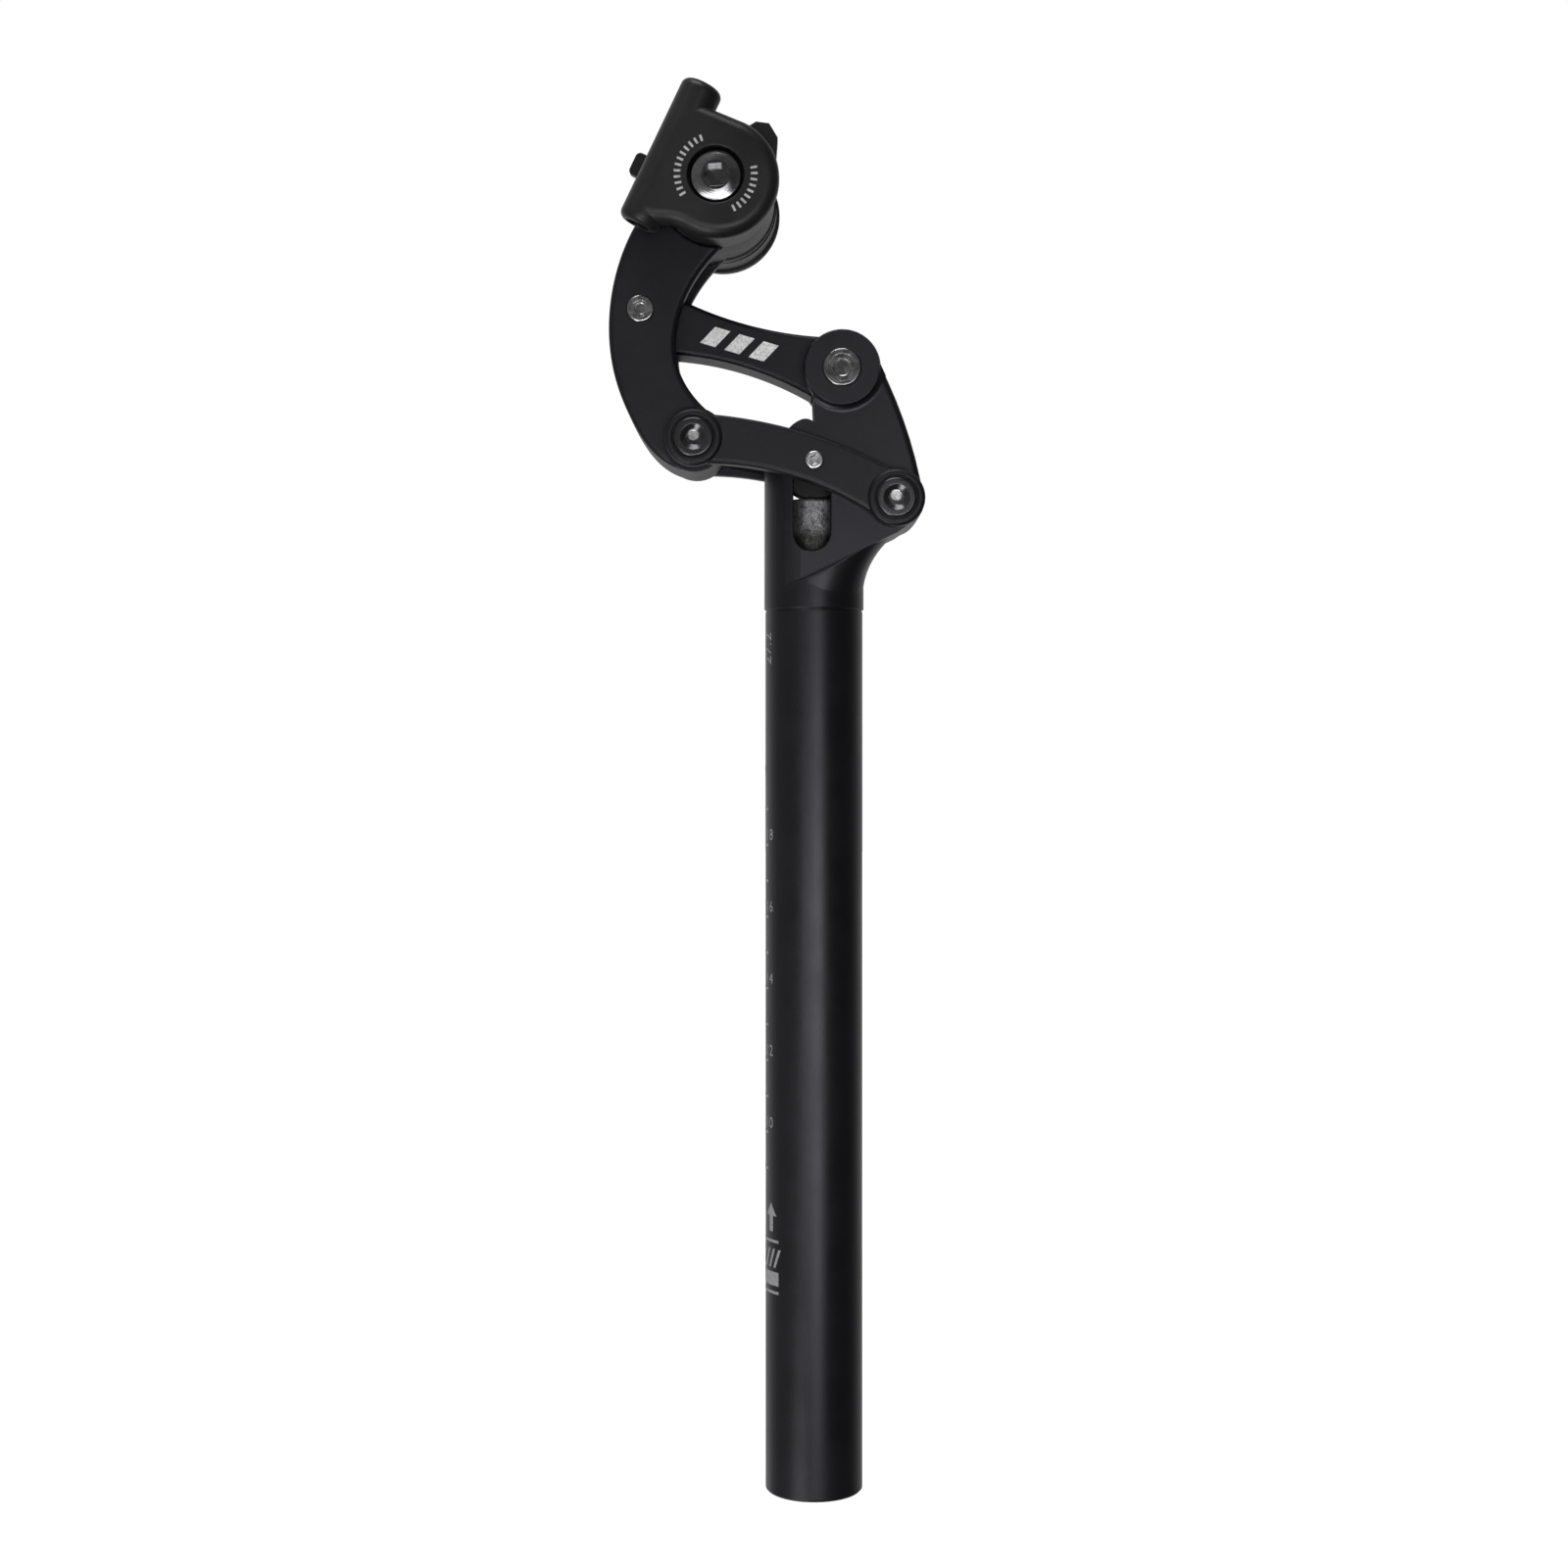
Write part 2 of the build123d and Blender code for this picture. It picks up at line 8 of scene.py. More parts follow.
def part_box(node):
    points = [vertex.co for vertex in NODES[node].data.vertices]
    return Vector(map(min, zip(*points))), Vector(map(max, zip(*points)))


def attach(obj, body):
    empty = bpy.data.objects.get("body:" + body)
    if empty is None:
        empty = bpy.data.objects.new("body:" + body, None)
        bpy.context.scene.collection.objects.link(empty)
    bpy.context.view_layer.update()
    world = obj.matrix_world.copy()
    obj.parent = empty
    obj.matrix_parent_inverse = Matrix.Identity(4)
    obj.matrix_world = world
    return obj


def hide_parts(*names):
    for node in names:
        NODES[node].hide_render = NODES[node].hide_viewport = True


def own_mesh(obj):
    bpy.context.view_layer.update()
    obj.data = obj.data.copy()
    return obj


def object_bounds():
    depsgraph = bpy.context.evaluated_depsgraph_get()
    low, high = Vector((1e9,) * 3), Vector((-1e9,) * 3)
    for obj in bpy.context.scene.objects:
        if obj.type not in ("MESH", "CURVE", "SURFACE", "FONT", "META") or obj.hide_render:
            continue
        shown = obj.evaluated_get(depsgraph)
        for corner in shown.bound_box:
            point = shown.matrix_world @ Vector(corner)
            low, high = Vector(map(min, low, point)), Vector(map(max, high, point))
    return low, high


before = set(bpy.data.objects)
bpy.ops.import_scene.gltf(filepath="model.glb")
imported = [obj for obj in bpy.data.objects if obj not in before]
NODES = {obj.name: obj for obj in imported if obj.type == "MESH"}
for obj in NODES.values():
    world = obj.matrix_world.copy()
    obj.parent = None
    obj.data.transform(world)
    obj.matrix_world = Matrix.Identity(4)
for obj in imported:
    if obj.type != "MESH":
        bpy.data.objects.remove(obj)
CAD_BOX = [list(corner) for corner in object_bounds()]

# Places that the printing, the spring and the turned faces need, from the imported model, in metres.
PIN_CENTRE = {}
for node in ("front_axle", "rear_axle", "roller_axle", "upper_front_pin", "upper_rear_pin", "clamp_bolt"):
    low, high = (Vector(c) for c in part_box(node))
    PIN_CENTRE[node] = (low + high) / 2
SPRING_LOW, SPRING_HIGH = (Vector(c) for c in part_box("coil_spring"))
POST_R = 0.0136


# ---- materials ----


class Shader:
    """A Principled material with short calls for the procedural nodes round it."""

    def __init__(self, name):
        self.material = bpy.data.materials.new(name)
        self.material.use_nodes = True
        self.tree = self.material.node_tree
        self.principled = next(n for n in self.tree.nodes if n.type == "BSDF_PRINCIPLED")
        self.coord = self.tree.nodes.new("ShaderNodeTexCoord").outputs["Object"]

    def add(self, kind, inputs=None, **settings):
        node = self.tree.nodes.new(kind)
        for key, value in settings.items():
            setattr(node, key, value)
        for key, value in (inputs or {}).items():
            self.put(node.inputs[key], value)
        return node

    def put(self, socket, value):
        if isinstance(value, bpy.types.NodeSocket):
            self.tree.links.new(value, socket)
        else:
            socket.default_value = value

    def set(self, **values):
        for key, value in values.items():
            self.put(self.principled.inputs[key.replace("_", " ")], value)

    def noise(self, size, detail=3.0, rough=0.5, stretch=(1, 1, 1), distortion=0.0):
        """Noise whose features are about size metres across."""
        where = self.add("ShaderNodeMapping", {"Vector": self.coord, "Scale": stretch}).outputs[0]
        shape = {"Scale": 1 / size, "Detail": detail, "Roughness": rough, "Distortion": distortion}
        return self.add("ShaderNodeTexNoise", {"Vector": where, **shape}).outputs["Fac"]

    def ramp(self, value, low, high, to_low=0.0, to_high=1.0):
        """Value eased from to_low to to_high as it goes from low to high."""
        inputs = {0: value, 1: low, 2: high, 3: to_low, 4: to_high}
        return self.add("ShaderNodeMapRange", inputs, interpolation_type="SMOOTHSTEP").outputs[0]

    def maths(self, operation, first, second):
        return self.add("ShaderNodeMath", {0: first, 1: second}, operation=operation).outputs[0]

    def mix(self, factor, first, second):
        """Colour from first at factor 0 to second at factor 1."""
        node = self.add("ShaderNodeMix", data_type="RGBA")
        self.put(node.inputs[0], factor)
        self.put(node.inputs[6], (*first, 1) if isinstance(first, tuple) else first)
        self.put(node.inputs[7], (*second, 1) if isinstance(second, tuple) else second)
        return node.outputs[2]

    def from_centre(self, centre):
        """Object coordinates measured from that point."""
        inputs = {0: self.coord, 1: tuple(centre)}
        return self.add("ShaderNodeVectorMath", inputs, operation="SUBTRACT").outputs[0]

    def edges(self, radius, low=0.02, high=0.25):
        """0 on flat surfaces and up to 1 on convex and concave edges."""
        soft = self.add("ShaderNodeBevel", {"Radius": radius}, samples=6).outputs[0]
        true = self.add("ShaderNodeNewGeometry").outputs["Normal"]
        dot = self.add("ShaderNodeVectorMath", {0: soft, 1: true}, operation="DOT_PRODUCT").outputs["Value"]
        return self.ramp(self.maths("SUBTRACT", 1.0, dot), low, high)

    def bump(self, height, depth, soften=0.0):
        """Bump of that depth in metres, over edges rounded by soften metres."""
        node = self.add("ShaderNodeBump", {"Height": height, "Strength": 1.0, "Distance": depth})
        if soften:
            round_off = self.add("ShaderNodeBevel", {"Radius": soften}, samples=6).outputs[0]
            self.put(node.inputs["Normal"], round_off)
        self.put(self.principled.inputs["Normal"], node.outputs[0])


BLUISH = (0.92, 0.91, 1.0)
NEUTRAL = (1.0, 1.0, 1.0)
RUBBED_ALLOY = (0.11, 0.11, 0.115)
WEAR = 0.12


def scaled(colour, factor):
    return tuple(c * factor for c in colour)


def anodised(name, colour, rough, sheen=BLUISH, grain=0.00035, depth=0.000012, specular=0.32, soften=0.0004):
    """Black anodised alloy: fine blasted grain, faint clouding and edges rubbed lighter."""
    s = Shader(name)
    cloud = s.noise(0.022, 4.0, 0.6)
    fine = s.noise(grain, 2.0, 0.6)
    handling = s.noise(0.006, 5.0, 0.65, distortion=0.6)
    body = s.mix(s.ramp(cloud, 0.35, 0.65), scaled(colour, 0.8), scaled(colour, 1.25))
    rubbed = s.maths("MULTIPLY", s.edges(0.0007), s.ramp(handling, 0.42, 0.7, 0.15, 1.0))
    s.set(Base_Color=s.mix(s.maths("MULTIPLY", rubbed, WEAR), body, RUBBED_ALLOY))
    broad = s.ramp(cloud, 0.3, 0.7, rough - 0.035, rough + 0.035)
    s.set(Roughness=s.maths("ADD", broad, s.ramp(fine, 0.3, 0.7, -0.03, 0.03)))
    s.principled.inputs["Specular IOR Level"].default_value = specular
    s.principled.inputs["Specular Tint"].default_value = (*sheen, 1)
    s.bump(fine, depth, soften)
    return s.material


RING_PITCH = 0.00028
WAVE_SCALE = 0.16
RING_DEPTH = 0.000003


def turned(name, colour, rough, centre):
    """Steel with the fine rings that facing leaves round an axis along Y."""
    s = Shader(name)
    rings = s.add(
        "ShaderNodeTexWave",
        {"Vector": s.from_centre(centre), "Scale": WAVE_SCALE / RING_PITCH, "Distortion": 0.4, "Detail": 2.0},
        wave_type="RINGS",
        rings_direction="Y",
    ).outputs["Fac"]
    stain = s.noise(0.0022, 4.0, 0.6)
    s.set(Base_Color=s.mix(s.ramp(stain, 0.3, 0.7), scaled(colour, 0.78), scaled(colour, 1.08)))
    stained = s.ramp(stain, 0.3, 0.7, rough, rough + 0.07)
    s.set(Roughness=s.maths("ADD", stained, s.maths("MULTIPLY", rings, 0.05)))
    s.principled.inputs["Metallic"].default_value = 1.0
    s.bump(rings, RING_DEPTH, 0.00015)
    return s.material


# Colour of the painted highlight in the axle screw sockets: bright steel standing in for a reflection.
GLINT_STEEL_COLOUR = (0.85, 0.85, 0.86)
BLACK_OXIDE = (0.055, 0.055, 0.058)
# How far above the axis the painted highlight sits, in metres.
GLINT_SPOT_UP = 0.0007


def oxided(name, centre):
    """Black-oxide screw head with a painted highlight: a spot of bright steel colour in its socket a little
    above the axis, where a reflection would show.
    """
    s = Shader(name)
    local = s.from_centre(centre + Vector((0, 0, GLINT_SPOT_UP)))
    flat = s.add("ShaderNodeVectorMath", {0: local, 1: (1, 0, 1)}, operation="MULTIPLY").outputs[0]
    away = s.add("ShaderNodeVectorMath", {0: flat}, operation="LENGTH").outputs["Value"]
    wear_and_glint_noise = s.noise(0.0014, 4.0, 0.6)
    # Painted highlight: full within 1.2 mm of a point just above the axis, fading out by 1.7 mm, mottled by
    # the noise.
    painted_glint = s.maths("MULTIPLY", s.ramp(away, 0.0012, 0.0017, 1.0, 0.0), s.ramp(wear_and_glint_noise, 0.25, 0.6, 0.6, 1.0))
    rubbed = s.maths("MULTIPLY", s.edges(0.0005), s.ramp(wear_and_glint_noise, 0.35, 0.65, 0.05, 0.2))
    # Black oxide, turned bright steel where the painted highlight or the real edge rubbing is.
    s.set(Base_Color=s.mix(s.maths("MAXIMUM", painted_glint, rubbed), BLACK_OXIDE, GLINT_STEEL_COLOUR))
    s.set(Metallic=s.ramp(wear_and_glint_noise, 0.2, 0.8, 0.75, 0.95))
    s.set(Roughness=s.maths("SUBTRACT", s.ramp(wear_and_glint_noise, 0.3, 0.7, 0.18, 0.26), s.maths("MULTIPLY", painted_glint, 0.06)))
    s.bump(s.noise(0.0003, 2.0, 0.6), 0.000004, 0.0003)
    return s.material


def moulded(name, colour, rough, specular=0.4):
    """Bearing polymer or elastomer with a fine moulded texture."""
    s = Shader(name)
    fine = s.noise(0.0006, 3.0, 0.6)
    cloud = s.noise(0.007, 4.0, 0.6)
    s.set(Base_Color=s.mix(s.ramp(cloud, 0.3, 0.7), scaled(colour, 0.75), scaled(colour, 1.2)))
    s.set(Roughness=s.ramp(fine, 0.3, 0.7, rough - 0.06, rough + 0.06))
    s.principled.inputs["Specular IOR Level"].default_value = specular
    s.bump(fine, 0.00002, 0.0002)
    return s.material


# Heights in metres over which the plunger passes from painted shade below to its plain colour above.
PAINTED_SHADE_Z = (0.2670, 0.2715)


def greased(name):
    """Machined alloy with an uneven film of dark grease, and painted shade that darkens it towards its lower
    end.
    """
    s = Shader(name)
    film = s.noise(0.0016, 6.0, 0.7, (1, 1, 0.6), 1.2)
    height = s.add("ShaderNodeSeparateXYZ", {0: s.coord}).outputs["Z"]
    # Painted shade: darkens the plunger below these heights, its edge wobbled by the grease noise.
    low = s.ramp(s.maths("ADD", height, s.maths("MULTIPLY", film, 0.004)), *PAINTED_SHADE_Z, 1.0, 0.0)
    # Dark grease clumps together with the painted shade below.
    grease_and_shade = s.maths("MAXIMUM", s.ramp(film, 0.5, 0.66), low)
    s.set(Base_Color=s.mix(grease_and_shade, (0.24, 0.24, 0.25), (0.018, 0.017, 0.016)))
    s.set(Roughness=s.ramp(film, 0.42, 0.6, 0.42, 0.2))
    s.set(Metallic=s.maths("SUBTRACT", 0.7, s.maths("MULTIPLY", grease_and_shade, 0.7)))
    s.bump(film, 0.00025, 0.0002)
    return s.material


def printed(name, colour):
    """Thin screen-printed ink, a little patchy."""
    s = Shader(name)
    patch = s.noise(0.0007, 4.0, 0.7)
    s.set(Base_Color=s.mix(s.ramp(patch, 0.35, 0.6), scaled(colour, 0.62), colour))
    s.set(Roughness=s.ramp(patch, 0.3, 0.7, 0.48, 0.66))
    s.bump(patch, 0.000006)
    return s.material


POST_BLACK = (0.0038, 0.0038, 0.0052)
FORGING_BLACK = (0.0032, 0.0032, 0.0042)
CLAMP_BLACK = (0.0085, 0.0085, 0.0086)
MATERIALS = {
    "post": anodised("post_black", POST_BLACK, 0.36, specular=0.40),
    "forging": anodised("forging_black", FORGING_BLACK, 0.44, grain=0.0006, depth=0.00003),
    "clamp": anodised("clamp_black", CLAMP_BLACK, 0.40, NEUTRAL, grain=0.0005, depth=0.00002, soften=0.0006),
    "cap": anodised("cap_black", (0.015, 0.015, 0.017), 0.35),
    "polymer": moulded("bearing_polymer", (0.03, 0.03, 0.033), 0.5),
    "roller": moulded("roller_acetal", (0.010, 0.010, 0.010), 0.50, 0.25),
    "rubber": moulded("elastomer", (0.02, 0.02, 0.02), 0.75, 0.25),
    "plunger": greased("greased_alloy"),
    "ink": printed("grey_ink", (0.30, 0.30, 0.31)),
    "marks": printed("clamp_ink", (0.46, 0.46, 0.47)),
    "badge": printed("badge_ink", (0.86, 0.86, 0.86)),
}
STEELS = {
    "clamp_bolt": ((0.24, 0.24, 0.245), 0.10),
    "roller_axle": ((0.52, 0.52, 0.53), 0.15),
    "upper_front_pin": ((0.24, 0.24, 0.245), 0.14),
    "upper_rear_pin": ((0.38, 0.38, 0.385), 0.15),
    "front_axle": ((0.42, 0.42, 0.43), 0.24),
    "rear_axle": ((0.42, 0.42, 0.43), 0.24),
}
for node, (colour, rough) in STEELS.items():
    MATERIALS[node] = turned(node + "_steel", colour, rough, PIN_CENTRE[node])
for axle in ("front_axle", "rear_axle"):
    MATERIALS[axle + "_screws"] = oxided(axle + "_oxide", PIN_CENTRE[axle])

NODE_MATERIAL = {
    "post_body": "post",
    "guide_sleeve": "polymer",
    "plunger": "plunger",
    "bump_stop": "rubber",
    "spring_seat": "cap",
    "preload_cap": "cap",
    "link_plate_right": "forging",
    "link_plate_left": "forging",
    "front_axle": "front_axle",
    "front_axle_screws": "front_axle_screws",
    "front_bushes": "polymer",
    "rear_axle": "rear_axle",
    "rear_axle_screws": "rear_axle_screws",
    "rear_bushes": "polymer",
    "roller": "roller",
    "roller_bush": "roller_axle",
    "roller_axle": "roller_axle",
    "roller_spacers": "roller_axle",
    "upper_link": "forging",
    "upper_front_pin": "upper_front_pin",
    "upper_front_bushes": "polymer",
    "upper_rear_pin": "upper_rear_pin",
    "upper_rear_bushes": "polymer",
    "head_bracket": "forging",
    "inner_clamp_right": "clamp",
    "inner_clamp_left": "clamp",
    "outer_clamp_right": "clamp",
    "outer_clamp_left": "clamp",
    "clamp_bolt": "clamp_bolt",
    "clamp_nut": "clamp_bolt",
    "coil_spring": "roller_axle",
}
for node, key in NODE_MATERIAL.items():
    mesh = NODES[node].data
    mesh.materials.clear()
    mesh.materials.append(MATERIALS[key])


# ---- pieces made here ----


def finish_piece(name, mesh, material, body):
    mesh.materials.append(MATERIALS[material])
    piece = bpy.data.objects.new(name, mesh)
    bpy.context.scene.collection.objects.link(piece)
    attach(piece, body)
    return piece


WIRE_R = 0.0015
COILS = 24
DEAD_COILS = 1.0
STEPS_PER_TURN = 40
WIRE_SIDES = 12


def make_spring():
    """Helical wire whose end coils close up against their neighbours."""
    low, high = SPRING_LOW.z + WIRE_R, SPRING_HIGH.z - WIRE_R
    radius = (SPRING_HIGH.x - SPRING_LOW.x) / 2 - WIRE_R
    dead = DEAD_COILS * 2.1 * WIRE_R
    mesh = bpy.data.meshes.new("coil_spring_wire")
    bm = bmesh.new()
    rings = []
    for i in range(COILS * STEPS_PER_TURN + 1):
        turn = i / STEPS_PER_TURN
        inside = min(max((turn - DEAD_COILS) / (COILS - 2 * DEAD_COILS), 0), 1)
        ends = min(turn, DEAD_COILS) + max(turn - COILS + DEAD_COILS, 0)
        z = low + ends / DEAD_COILS * dead + inside * (high - low - 2 * dead)
        out = Vector((math.cos(math.tau * turn), math.sin(math.tau * turn), 0))
        ring = []
        for k in range(WIRE_SIDES):
            a = math.tau * k / WIRE_SIDES
            place = out * (radius + WIRE_R * math.cos(a)) + Vector((0, 0, z + WIRE_R * math.sin(a)))
            ring.append(bm.verts.new(place))
        rings.append(ring)
    for first, second in zip(rings, rings[1:]):
        for k in range(WIRE_SIDES):
            bm.faces.new((first[k], first[k - 1], second[k - 1], second[k])).smooth = True
    bm.faces.new(rings[0])
    bm.faces.new(rings[-1][::-1])
    bmesh.ops.recalc_face_normals(bm, faces=bm.faces)
    bm.to_mesh(mesh)
    spring = finish_piece("spring_wire", mesh, "roller_axle", "post")
    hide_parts("coil_spring")
    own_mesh(spring)


# How far the printing stands off the surface under it.
INK = 0.00004


def slab_from_outline(bm, points):
    """A flat polygon in (across, up) metres."""
    bm.faces.new([bm.verts.new((x, y, 0)) for x, y in points])


def text_mesh(text, height):
    curve = bpy.data.curves.new("numeral", "FONT")
    curve.body = text
    curve.size = height * 1.35
    curve.align_x = "CENTER"
    curve.align_y = "CENTER"
    holder = bpy.data.objects.new("numeral", curve)
    bpy.context.scene.collection.objects.link(holder)
    mesh = bpy.data.meshes.new_from_object(holder)
    bpy.data.objects.remove(holder)
    return mesh


def add_text(bm, text, height, across, up, turn=0.0):
    """Numerals centred at (across, up), turned anticlockwise by turn degrees."""
    start = len(bm.verts)
    bm.from_mesh(text_mesh(text, height))
    bm.verts.ensure_lookup_table()
    c, s = math.cos(math.radians(turn)), math.sin(math.radians(turn))
    for vert in bm.verts[start:]:
        x, y = vert.co.x, vert.co.y
        vert.co = Vector((across + c * x - s * y, up + s * x + c * y, 0))


def bar(bm, across, up, wide, high, slant=0.0):
    """An upright bar, its top slant metres to the right of its foot."""
    w, h = wide / 2, high / 2
    corners = ((-w - slant / 2, -h), (w - slant / 2, -h), (w + slant / 2, h), (-w + slant / 2, h))
    slab_from_outline(bm, [(across + x, up + y) for x, y in corners])


STRIP_WIDTH = 0.0006
STRIPS = 24


def wrap_on_post(bm, radius):
    """Cuts the flat print into narrow strips and rolls it onto the back of the post."""
    for k in range(-STRIPS, STRIPS + 1):
        everything = bm.verts[:] + bm.edges[:] + bm.faces[:]
        bmesh.ops.bisect_plane(bm, geom=everything, plane_co=(k * STRIP_WIDTH, 0, 0), plane_no=(1, 0, 0))
    for vert in bm.verts:
        angle = math.pi - vert.co.x / radius
        vert.co = Vector((radius * math.cos(angle), -radius * math.sin(angle), vert.co.y))


MARK = (0.0100, 0.0007)
NUMERAL = 0.0032
NUMERAL_ACROSS = 0.0057
LINE = 0.0008
SIZE_Z = 0.2346
BAND_WIDTH = 0.0206
BAND_Z = 0.0598
HATCH_Z = 0.0655
ARROW_Z = 0.0728
# One half of an arrow, across and up from the middle of its foot.
ARROW_HALF = ((0.0010, 0), (0.0010, 0.0044), (0.0026, 0.0044), (0, 0.0080))


def arrow_outline(across):
    right = [(across + x, ARROW_Z + y) for x, y in ARROW_HALF]
    left = [(across - x, ARROW_Z + y) for x, y in ARROW_HALF[-2::-1]]
    return right + left


def make_post_print():
    """Height scale, size number and minimum-insertion band down the back of the post."""
    bm = bmesh.new()
    for cm in range(9, 20):
        bar(bm, 0, cm / 100, *MARK)
        if cm % 2 == 0:
            add_text(bm, str(cm), NUMERAL, NUMERAL_ACROSS, cm / 100 + 0.0028)
    add_text(bm, "20", 0.0036, 0, 0.2006)
    add_text(bm, "27.2", 0.0040, 0.0052, SIZE_Z, 90)
    bar(bm, 0.0018, SIZE_Z, LINE, 0.0074)
    for k in range(-4, 5):
        bar(bm, k * 0.0024, HATCH_Z, 0.0010, 0.0052, 0.0022)
    bar(bm, 0, BAND_Z, BAND_WIDTH, 0.0038)
    bar(bm, 0, BAND_Z - 0.0038, BAND_WIDTH, LINE)
    bar(bm, 0, BAND_Z + 0.0104, BAND_WIDTH, LINE)
    for across in (-0.0068, 0.0068):
        slab_from_outline(bm, arrow_outline(across))
    wrap_on_post(bm, POST_R + INK)
    mesh = bpy.data.meshes.new("post_print")
    bm.to_mesh(mesh)
    finish_piece("post_print", mesh, "ink", "post")


def place_on_side(bm, centre, angle, face_y):
    """Moves a flat print onto a side face at y, its across axis turned up by angle degrees."""
    c, s = math.cos(math.radians(angle)), math.sin(math.radians(angle))
    side = -1 if face_y < 0 else 1
    for vert in bm.verts:
        x, z = vert.co.x * -side, vert.co.y
        vert.co = Vector((centre[0] + c * x - s * z, face_y, centre[1] + s * x + c * z))


BADGE_PITCH = 0.0070
BADGE_BAR = (0.0044, 0.0054, 0.0028)
BADGE_DROP = 0.0010


def make_badge():
    """Three slanted bars on each side of the upper link, a little below the line between its pins."""
    low, high = (Vector(c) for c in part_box("upper_link"))
    front, rear = PIN_CENTRE["upper_front_pin"], PIN_CENTRE["upper_rear_pin"]
    slope = math.degrees(math.atan2(front.z - rear.z, front.x - rear.x))
    up = Vector((-(front.z - rear.z), 0, front.x - rear.x)).normalized()
    middle = front.lerp(rear, 0.505) - up * BADGE_DROP
    for name, face_y in (("badge_right", low.y - INK), ("badge_left", high.y + INK)):
        bm = bmesh.new()
        for k in (-1, 0, 1):
            bar(bm, k * BADGE_PITCH, 0, *BADGE_BAR)
        place_on_side(bm, (middle.x, middle.z), slope, face_y)
        mesh = bpy.data.meshes.new(name)
        bm.to_mesh(mesh)
        finish_piece(name, mesh, "badge", "upper_link")


MARKS_R = 0.0104
MARK_HALF = Vector((0.0009, 0.00032))
MARK_STEP = 9
MARK_ARCS = ((112, 214), (-62, 12))


def make_clamp_marks():
    """Short graduations in two arcs round the clamp bolt."""
    centre = PIN_CENTRE["clamp_bolt"]
    faces = {
        "right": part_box("outer_clamp_right")[0][1] - INK,
        "left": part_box("outer_clamp_left")[1][1] + INK,
    }
    for side, face_y in faces.items():
        bm = bmesh.new()
        for start, stop in MARK_ARCS:
            for angle in range(start, stop, MARK_STEP):
                turn = Matrix.Rotation(math.radians(angle), 2)
                box = ((-1, -1), (1, -1), (1, 1), (-1, 1))
                corners = [turn @ Vector((MARKS_R + MARK_HALF.x * i, MARK_HALF.y * j)) for i, j in box]
                slab_from_outline(bm, corners)
        place_on_side(bm, (centre.x, centre.z), 0, face_y)
        mesh = bpy.data.meshes.new("clamp_marks_" + side)
        bm.to_mesh(mesh)
        finish_piece("clamp_marks_" + side, mesh, "marks", "saddle_clamp")


make_spring()
make_post_print()
make_badge()
make_clamp_marks()


# ---- studio ----

scene = bpy.context.scene
scene.view_settings.view_transform = "Standard"

# Light by direction: axis, where it starts and ends, and its strength at each.
WORLD_LIGHT = (
    ("Y", 0.1, 0.9, 0.085, 0.55),
    ("X", 0.1, -0.7, 0.0, 0.20),
    ("Z", 0.2, 1.0, 0.0, 0.15),
)
WHITE = (1.0, 1.0, 1.0, 1.0)


def make_world():
    """White to the eye, but lit from behind and from the left, with a dark front, as in a product studio."""
    world = bpy.data.worlds.new("studio")
    world.use_nodes = True
    tree = world.node_tree
    tree.nodes.clear()
    direction = tree.nodes.new("ShaderNodeTexCoord").outputs["Generated"]
    axes = tree.nodes.new("ShaderNodeSeparateXYZ")
    tree.links.new(direction, axes.inputs[0])
    total = None
    for axis, *limits in WORLD_LIGHT:
        step = tree.nodes.new("ShaderNodeMapRange")
        step.interpolation_type = "SMOOTHSTEP"
        tree.links.new(axes.outputs[axis], step.inputs[0])
        for number, value in enumerate(limits, 1):
            step.inputs[number].default_value = value
        if total is None:
            total = step.outputs[0]
        else:
            add = tree.nodes.new("ShaderNodeMath")
            tree.links.new(total, add.inputs[0])
            tree.links.new(step.outputs[0], add.inputs[1])
            total = add.outputs[0]
    lit = tree.nodes.new("ShaderNodeBackground")
    tree.links.new(total, lit.inputs["Strength"])
    lit.inputs["Color"].default_value = WHITE
    seen = tree.nodes.new("ShaderNodeBackground")
    seen.inputs["Color"].default_value = WHITE
    choose = tree.nodes.new("ShaderNodeMixShader")
    tree.links.new(tree.nodes.new("ShaderNodeLightPath").outputs["Is Camera Ray"], choose.inputs[0])
    tree.links.new(lit.outputs[0], choose.inputs[1])
    tree.links.new(seen.outputs[0], choose.inputs[2])
    tree.links.new(choose.outputs[0], tree.nodes.new("ShaderNodeOutputWorld").inputs[0])
    return world


scene.world = make_world()


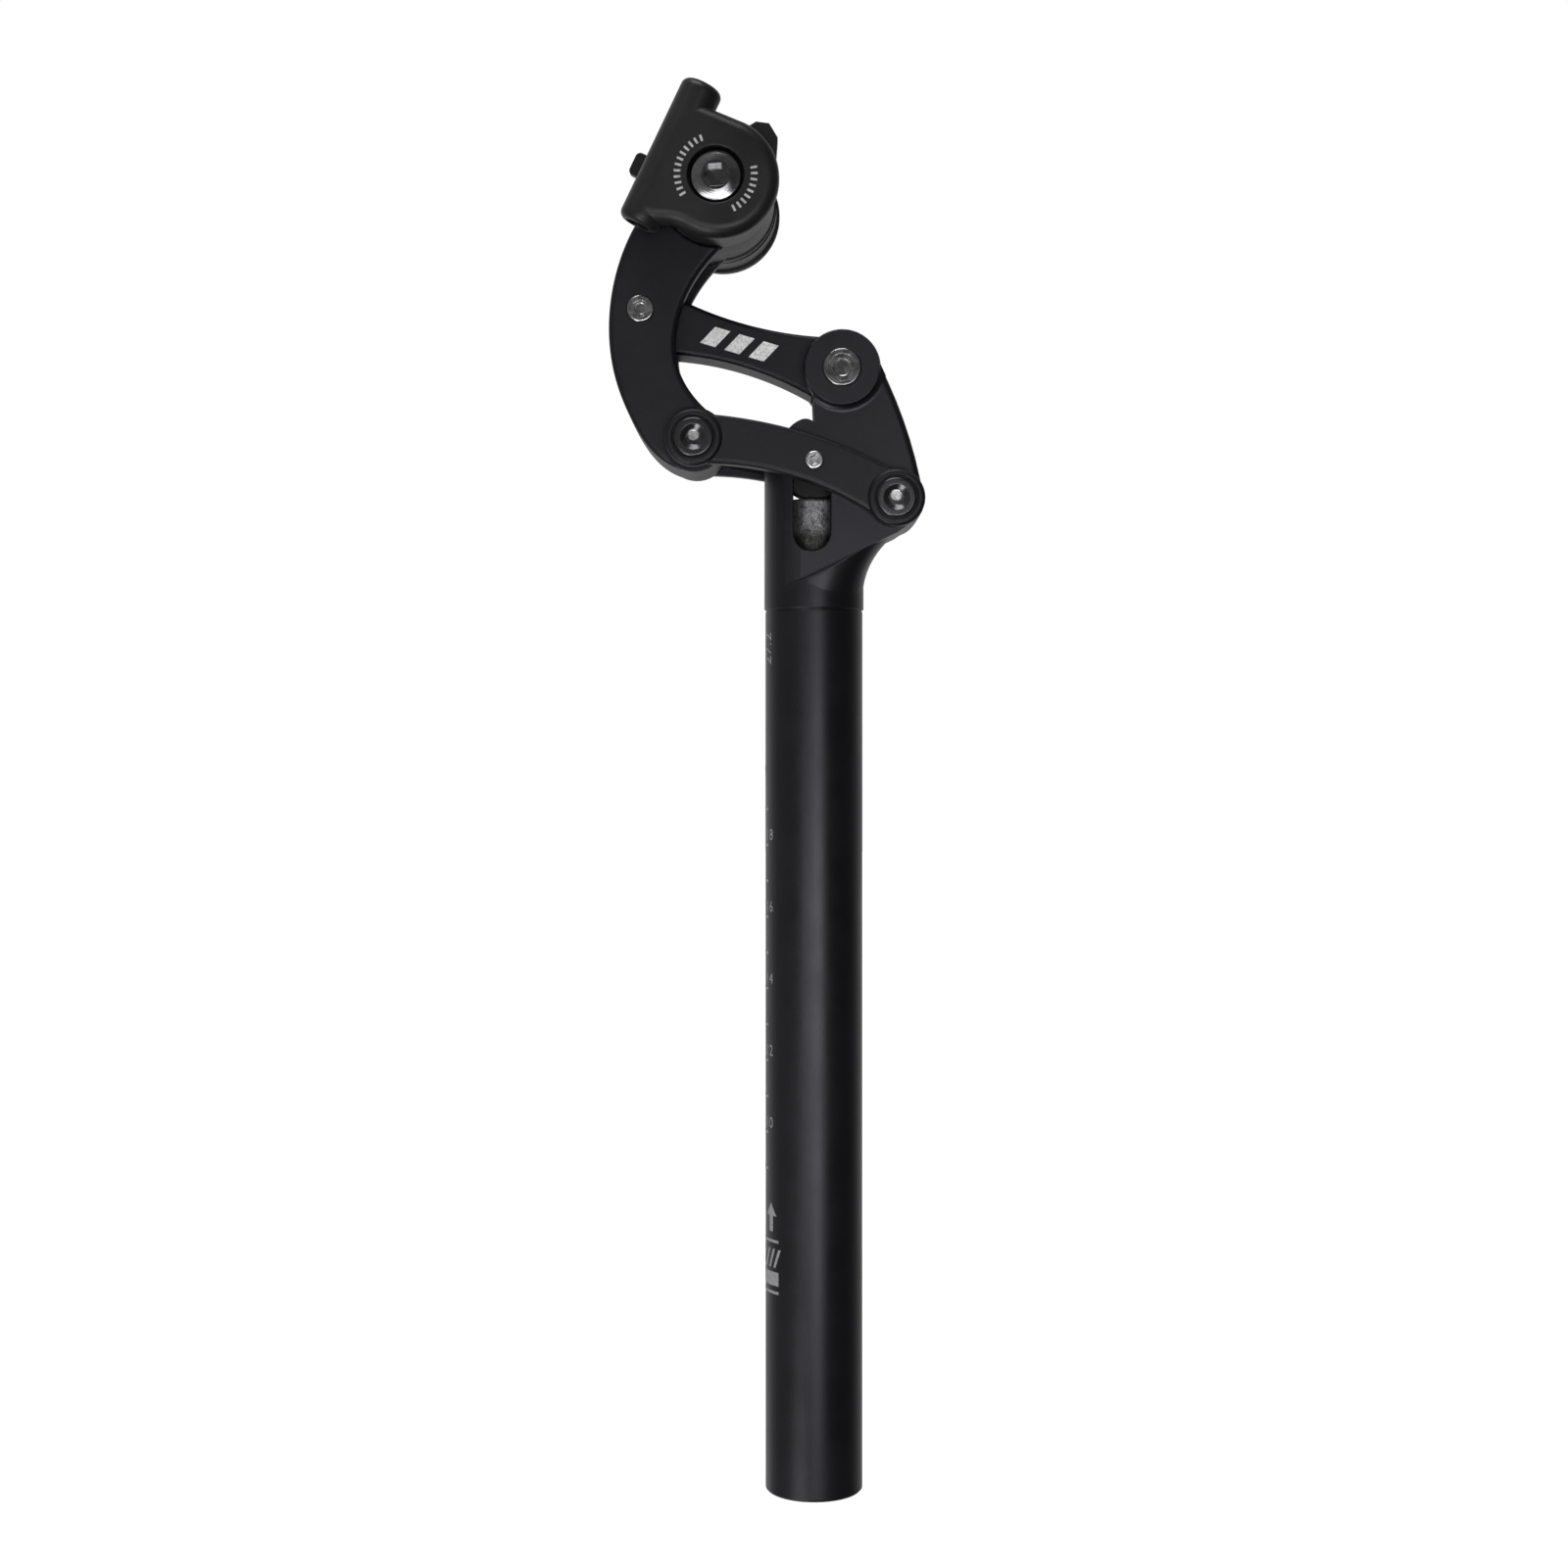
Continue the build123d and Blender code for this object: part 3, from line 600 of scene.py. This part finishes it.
def softbox(name, place, aim, size, power):
    """A rectangular lamp at place that faces aim, unseen by the camera."""
    light = bpy.data.lights.new(name, "AREA")
    light.shape = "RECTANGLE"
    light.size, light.size_y = size
    light.energy = power
    lamp = bpy.data.objects.new(name, light)
    lamp.location = place
    lamp.rotation_euler = (Vector(aim) - Vector(place)).to_track_quat("-Z", "Y").to_euler()
    lamp.visible_camera = False
    scene.collection.objects.link(lamp)


softbox("front", (0.22, -1.7, -0.02), (0, 0, 0.15), (0.60, 0.80), 4.2)
softbox("low", (-0.05, -0.95, 0.03), (0, 0, 0.33), (0.90, 0.16), 2.4)
softbox("under", (-0.45, -0.60, -0.55), (0, 0, 0.28), (0.40, 0.40), 4.5)
softbox("top", (-0.15, -0.45, 1.4), (0, 0, 0.3), (0.80, 0.50), 9.0)

FLOOR_Z = CAD_BOX[0][2] - 0.0002


def pale(name):
    """The backdrop's white, bright enough to leave no horizon."""
    s = Shader(name)
    s.set(Base_Color=s.mix(s.ramp(s.noise(0.4), 0.3, 0.7), (0.90, 0.90, 0.90), (0.93, 0.93, 0.93)))
    s.principled.inputs["Roughness"].default_value = 0.7
    s.principled.inputs["Emission Color"].default_value = WHITE
    s.principled.inputs["Emission Strength"].default_value = 1.0
    return s.material


def make_floor():
    mesh = bpy.data.meshes.new("floor")
    bm = bmesh.new()
    bmesh.ops.create_grid(bm, x_segments=8, y_segments=8, size=4.0)
    bm.to_mesh(mesh)
    mesh.materials.append(pale("pale_floor"))
    floor = bpy.data.objects.new("floor", mesh)
    floor.location.z = FLOOR_Z
    scene.collection.objects.link(floor)
    floor.visible_diffuse = False
    floor.visible_glossy = False
    floor.visible_shadow = False


make_floor()

lens = bpy.data.cameras.new("camera")
lens.lens = 54.9
lens.sensor_width = 36.0
lens.shift_y = -0.025
camera = bpy.data.objects.new("camera", lens)
camera.location = (-0.0084, -0.671, 0.2079)
camera.rotation_euler = (math.radians(90), 0, 0)
scene.collection.objects.link(camera)
scene.camera = camera
